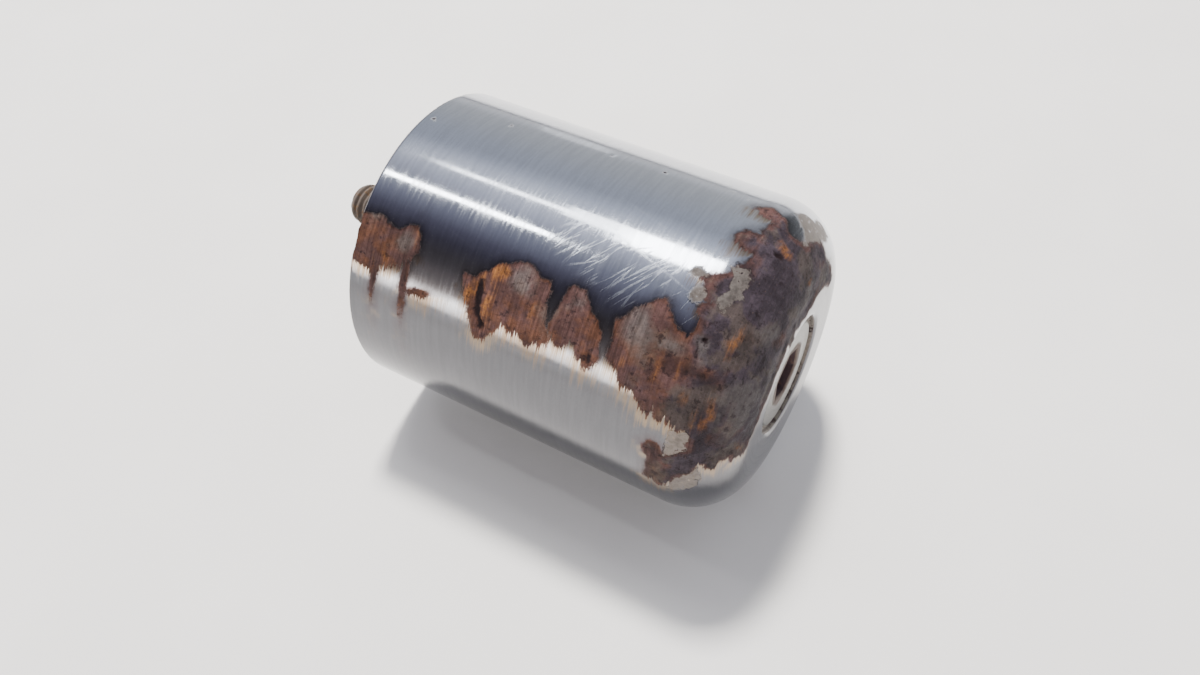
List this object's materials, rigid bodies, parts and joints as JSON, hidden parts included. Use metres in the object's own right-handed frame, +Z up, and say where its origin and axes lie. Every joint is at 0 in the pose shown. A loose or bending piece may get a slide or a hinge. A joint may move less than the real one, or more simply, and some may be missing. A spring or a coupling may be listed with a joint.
{
  "type": "roller fairlead post",
  "caption": "Round fairlead post: a domed chromed steel barrel that turns on a shoulder-screw spindle with a threaded deck stud.",
  "frame": {"origin": "on the barrel's axis, at the face of the base washer that seats on the deck", "axes": "+X along the barrel's axis from the deck towards the domed end, +Z up with the object lying on its side as shown, +Y completes a right-handed frame; the threaded stud points to -X"},
  "size_m": [0.1051, 0.0634, 0.0636],
  "materials": {
    "chromed_steel": "bright chrome over brushed steel, badly pitted and rusted through along one side and over the domed end",
    "dark_ring": "dark phosphated steel",
    "hub_steel": "drawn steel tube",
    "bronze": "sintered bronze",
    "spindle_steel": "bright turned head, rusted thread",
    "acetal": "acetal",
    "spring_steel": "blackened spring steel",
    "zinc_steel": "zinc plated steel, stained with rust",
    "seal_rubber": "nitrile rubber",
    "felt": "greased felt"
  },
  "bodies": {
    "spindle": {"spindle_bolt": "spindle_steel", "top_thrust_washer": "acetal", "lower_thrust_washer": "acetal", "retaining_ring": "spring_steel", "base_washer": "zinc_steel", "head_seal": "seal_rubber", "base_seal": "felt"},
    "barrel": {"shell": "chromed_steel", "base_ring": "dark_ring", "hub_tube": "hub_steel", "upper_bush": "bronze", "lower_bush": "bronze"}
  },
  "joints": [
    {"name": "barrel_spin", "type": "hinge", "parent": "spindle", "child": "barrel", "pos_m": [0, 0, 0], "axis": [1, 0, 0], "continuous": true}
  ]
}
